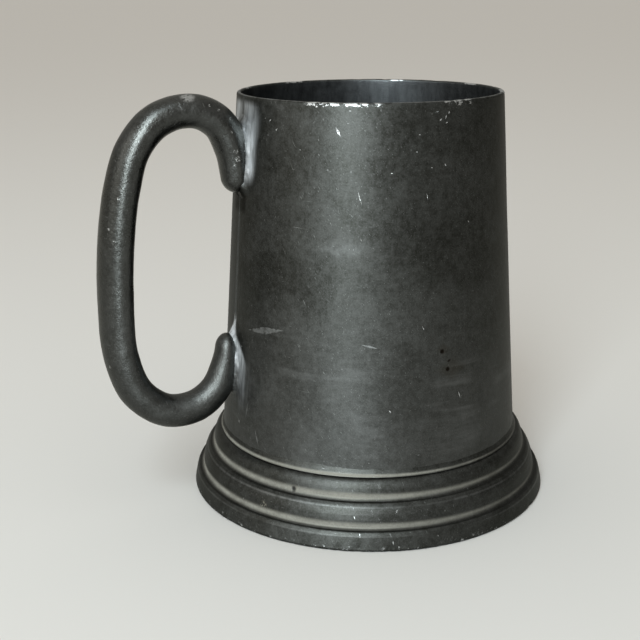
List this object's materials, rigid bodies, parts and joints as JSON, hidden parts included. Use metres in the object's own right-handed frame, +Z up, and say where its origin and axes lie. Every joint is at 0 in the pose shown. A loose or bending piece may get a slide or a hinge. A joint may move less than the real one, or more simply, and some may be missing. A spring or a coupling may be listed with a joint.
{
  "type": "pewter tankard",
  "caption": "Open pewter drinking tankard: tapered seamed drum on a stepped flared foot, with a C-shaped cast handle soldered on over the seam.",
  "frame": {"origin": "on the drum's axis at table level, the plane of the foot's resting edge; the base disc's underside is let in 0.9 mm above it", "axes": "+Z up along the drum's axis, -X out through the drum's seam and the handle, which lies in the XZ plane"},
  "size_m": [0.1373, 0.1094, 0.1211],
  "materials": {
    "patinated_pewter": "satin",
    "handle_pewter": "satin",
    "solder": "matte"
  },
  "bodies": {
    "root": {"drum": "patinated_pewter", "drum_seam_solder": "solder", "foot": "patinated_pewter", "foot_solder_joint": "solder", "base_disc": "patinated_pewter", "base_solder_joint": "solder", "floor_solder_joint": "solder", "handle": "handle_pewter", "upper_handle_solder": "solder", "lower_handle_solder": "solder"}
  },
  "joints": []
}
